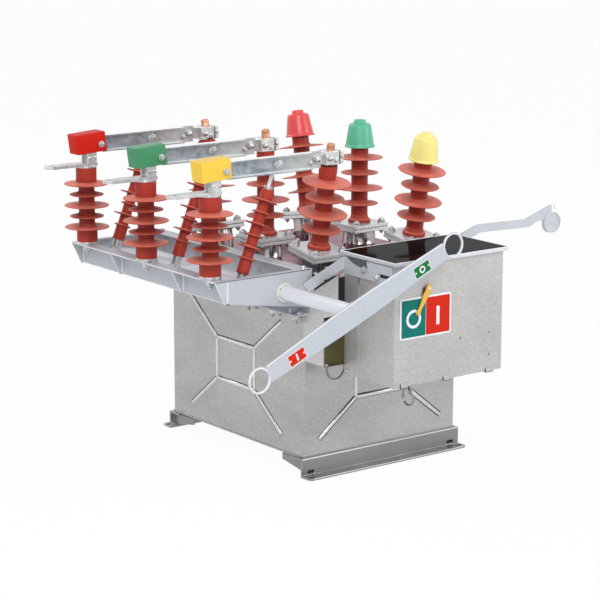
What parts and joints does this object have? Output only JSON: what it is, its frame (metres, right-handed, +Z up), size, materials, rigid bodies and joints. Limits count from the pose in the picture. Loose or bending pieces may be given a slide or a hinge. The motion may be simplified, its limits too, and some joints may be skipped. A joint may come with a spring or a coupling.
{
  "type": "outdoor 12 kV automatic circuit recloser with a three-pole disconnector",
  "caption": "Circuit recloser: steel tank on rails with leaning silicone bushings, a lever-worked disconnector with coloured hinge boxes, and a boxed mechanism with its sign, handle and rings.",
  "frame": {"origin": "middle of the four slots in the base rails' feet, at the feet's underside", "axes": "+X along the disconnector blades towards the capped bushings, +Y across the phases away from the mechanism, +Z up"},
  "size_m": [1.3076, 1.0285, 0.912],
  "materials": {
    "stainless": "brushed",
    "polished": "polished",
    "galvanised": "satin",
    "silicone": "satin",
    "cap_yellow": "satin",
    "cap_green": "satin",
    "cap_red": "satin",
    "box_yellow": "satin",
    "box_green": "satin",
    "box_red": "satin",
    "contact_metal": "satin",
    "shaft_white": "satin",
    "lid_black": "gloss",
    "sign": "satin",
    "pointer": "satin",
    "dark_wire": "satin"
  },
  "bodies": {
    "base": {"rail_front": "galvanised", "rail_back": "galvanised", "tank_floor": "stainless", "tank_walls": "stainless", "tank_roof": "stainless", "bushing_necks": "polished", "bushing_flanges": "polished", "bushings_line": "silicone", "bushings_load": "silicone", "cap_yellow": "cap_yellow", "cap_green": "cap_green", "cap_red": "cap_red", "contacts": "contact_metal", "frame_front": "galvanised", "frame_side_front": "galvanised", "frame_side_back": "galvanised", "frame_rear": "galvanised", "shaft_bearings": "galvanised", "posts": "silicone", "post_fittings": "contact_metal", "terminals": "contact_metal", "mechanism_neck": "stainless", "mechanism_stay": "galvanised", "mechanism_cover": "stainless", "mechanism_lid": "lid_black", "sign_plate": "sign"},
    "lever": {"operating_shaft": "shaft_white", "operating_lever": "galvanised"},
    "pointer": {"indicator_pointer": "pointer"},
    "charging_handle": {"charging_handle": "galvanised"},
    "ring_front": {"pull_ring_front": "dark_wire"},
    "ring_side": {"pull_ring_side": "dark_wire"},
    "blade_yellow": {"blade_yellow": "contact_metal", "hinge_box_yellow": "box_yellow"},
    "link_yellow": {"pull_insulator_yellow": "silicone", "pull_fittings_yellow": "contact_metal"},
    "blade_green": {"blade_green": "contact_metal", "hinge_box_green": "box_green"},
    "link_green": {"pull_insulator_green": "silicone", "pull_fittings_green": "contact_metal"},
    "blade_red": {"blade_red": "contact_metal", "hinge_box_red": "box_red"},
    "link_red": {"pull_insulator_red": "silicone", "pull_fittings_red": "contact_metal"}
  },
  "joints": [
    {"name": "lever_turn", "type": "hinge", "parent": "base", "child": "lever", "pos_m": [-0.3675, 0, 0.535], "axis": [0, 1, 0], "range_deg": [0, 50]},
    {"name": "blade_yellow_swing", "type": "hinge", "parent": "base", "child": "blade_yellow", "pos_m": [-0.56, -0.3, 0.87], "axis": [0, -1, 0], "range_deg": [0, 27.5]},
    {"name": "link_yellow_turn", "type": "hinge", "parent": "blade_yellow", "child": "link_yellow", "pos_m": [-0.352, -0.3, 0.87], "axis": [0, 1, 0], "range_deg": [0, 14.5]},
    {"name": "blade_green_swing", "type": "hinge", "parent": "base", "child": "blade_green", "pos_m": [-0.56, 0, 0.87], "axis": [0, -1, 0], "range_deg": [0, 27.5]},
    {"name": "link_green_turn", "type": "hinge", "parent": "blade_green", "child": "link_green", "pos_m": [-0.352, 0, 0.87], "axis": [0, 1, 0], "range_deg": [0, 14.5]},
    {"name": "blade_red_swing", "type": "hinge", "parent": "base", "child": "blade_red", "pos_m": [-0.56, 0.3, 0.87], "axis": [0, -1, 0], "range_deg": [0, 27.5]},
    {"name": "link_red_turn", "type": "hinge", "parent": "blade_red", "child": "link_red", "pos_m": [-0.352, 0.3, 0.87], "axis": [0, 1, 0], "range_deg": [0, 14.5]},
    {"name": "pointer_turn", "type": "hinge", "parent": "base", "child": "pointer", "pos_m": [-0.0893, -0.617, 0.556], "axis": [0, -1, 0], "range_deg": [0, 60]},
    {"name": "handle_turn", "type": "hinge", "parent": "base", "child": "charging_handle", "pos_m": [0.15, -0.377, 0.557], "axis": [0, 1, 0], "range_deg": [0, 50]},
    {"name": "ring_front_swing", "type": "hinge", "parent": "base", "child": "ring_front", "pos_m": [-0.148, -0.607, 0.285], "axis": [1, 0, 0], "range_deg": [-25, 25]},
    {"name": "ring_side_swing", "type": "hinge", "parent": "base", "child": "ring_side", "pos_m": [-0.212, -0.378, 0.3345], "axis": [0, 1, 0], "range_deg": [-25, 25]}
  ],
  "couplings": [
    {"joint": "blade_yellow_swing", "follows": "lever_turn", "ratio": 0.548},
    {"joint": "link_yellow_turn", "follows": "lever_turn", "ratio": 0.288},
    {"joint": "blade_green_swing", "follows": "lever_turn", "ratio": 0.548},
    {"joint": "link_green_turn", "follows": "lever_turn", "ratio": 0.288},
    {"joint": "blade_red_swing", "follows": "lever_turn", "ratio": 0.548},
    {"joint": "link_red_turn", "follows": "lever_turn", "ratio": 0.288}
  ]
}
